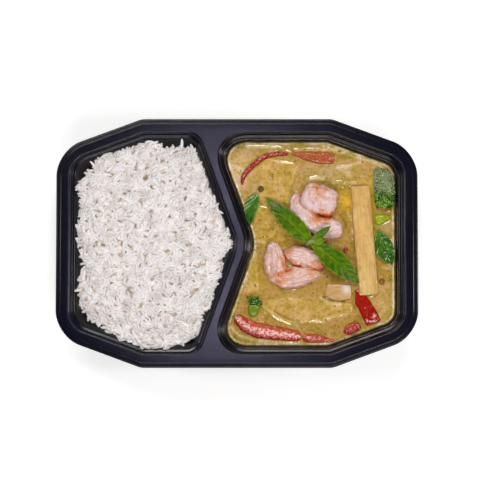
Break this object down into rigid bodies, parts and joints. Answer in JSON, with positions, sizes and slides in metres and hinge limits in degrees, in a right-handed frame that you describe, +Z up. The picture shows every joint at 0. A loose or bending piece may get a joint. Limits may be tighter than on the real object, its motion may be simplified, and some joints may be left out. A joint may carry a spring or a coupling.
{
  "type": "boxed curry meal",
  "caption": "Black two-compartment meal tray with a heap of white rice beside a creamy green curry with prawns, bamboo shoot, red pepper and basil.",
  "frame": {"origin": "middle of the tray's underside", "axes": "+X along the long side, towards the curry; +Y across, towards the back; +Z up"},
  "size_m": [0.25, 0.172, 0.0409],
  "materials": {
    "tray": "black moulded plastic, glossy, smooth",
    "rice": "boiled jasmine grains, soft sheen",
    "sauce": "creamy green curry sauce, wet gloss",
    "prawn": "cooked peeled prawn, wet",
    "basil": "fresh basil leaf, waxy",
    "bamboo": "sliced bamboo shoot, fibrous, wet",
    "pepper": "red pepper, glossy skin",
    "greens": "cooked green vegetable",
    "peppercorn": "green peppercorn"
  },
  "bodies": {
    "root": {"tray": "tray", "rice": "rice", "curry_sauce": "sauce", "basil_sprig": "basil", "prawn_upper": "prawn", "prawn_lower": "prawn", "peppercorn": "peppercorn", "bamboo_long_strip": "bamboo", "bamboo_chip": "bamboo", "broccoli_floret": "greens", "small_floret": "greens", "basil_leaf_left": "basil", "basil_leaf_right": "basil", "pepper_arc": "pepper", "pepper_window": "pepper", "pepper_wedge": "pepper", "pepper_curl": "pepper", "pepper_strip": "pepper", "pepper_tail": "pepper", "pepper_bit": "pepper", "bamboo_back_slab": "bamboo", "bamboo_side_slab": "bamboo", "bamboo_front_slab": "bamboo", "bamboo_edge_strip": "bamboo"}
  },
  "joints": []
}
